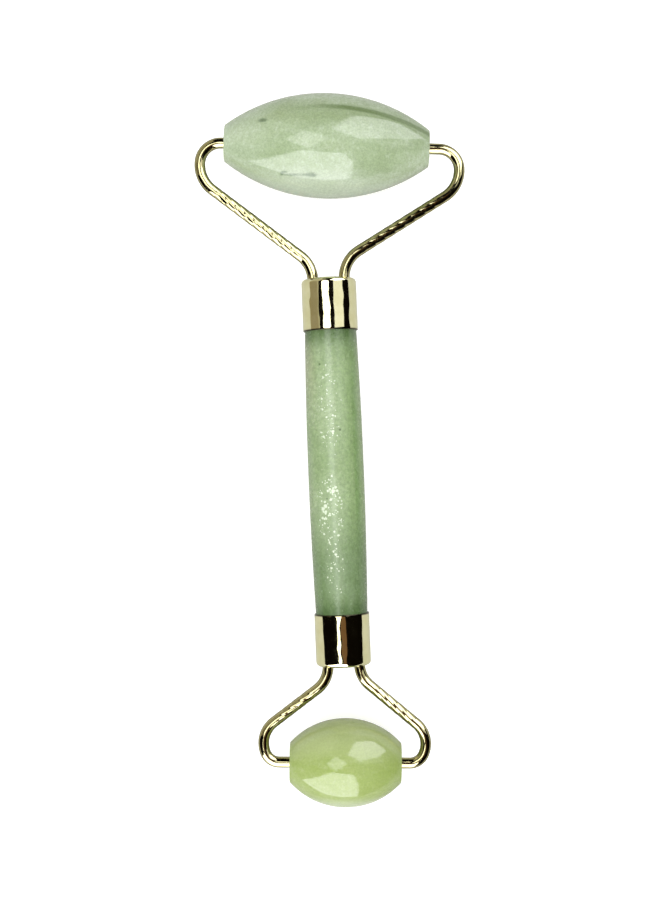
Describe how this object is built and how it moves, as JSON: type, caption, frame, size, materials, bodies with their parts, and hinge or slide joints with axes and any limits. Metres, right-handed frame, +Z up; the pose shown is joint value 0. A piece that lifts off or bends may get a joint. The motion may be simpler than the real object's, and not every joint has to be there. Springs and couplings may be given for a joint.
{
  "type": "face roller",
  "caption": "Hand-held stone face roller: slim handle with a metal cup at each end, wire forks, and a long and a short barrel roller that spin freely.",
  "frame": {"origin": "on the surface that the object lies on, below the middle of its whole length and width", "axes": "+Y along the handle towards the large roller, +X across it in the plane of the forks, +Z up. The roller axes lie in that plane, 3.9 and 2.7 degrees off X"},
  "size_m": [0.055, 0.145, 0.0212],
  "materials": {
    "handle_jade": "polished mid-green jade with pale flecks",
    "large_jade": "polished pale milky green jade with faint veins",
    "small_jade": "polished yellow-green jade",
    "gold_plate": "bright champagne gold plate",
    "white_nylon": "plain moulded nylon",
    "cast_resin": "clear amber cast adhesive"
  },
  "bodies": {
    "frame": {"handle": "handle_jade", "upper_ferrule": "gold_plate", "lower_ferrule": "gold_plate", "large_fork": "gold_plate", "small_fork": "gold_plate", "upper_adhesive": "cast_resin", "lower_adhesive": "cast_resin"},
    "large_roller": {"large_roller": "large_jade", "large_bush_left": "white_nylon", "large_bush_right": "white_nylon"},
    "small_roller": {"small_roller": "small_jade", "small_bush_left": "white_nylon", "small_bush_right": "white_nylon"}
  },
  "joints": [
    {"name": "large_roller_spin", "type": "hinge", "parent": "frame", "child": "large_roller", "pos_m": [-0.0004, 0.06185, 0.0106], "axis": [0.9977, -0.068, 0], "continuous": true},
    {"name": "small_roller_spin", "type": "hinge", "parent": "frame", "child": "small_roller", "pos_m": [-0.00153, -0.06355, 0.0106], "axis": [0.9989, -0.0471, 0], "continuous": true}
  ]
}
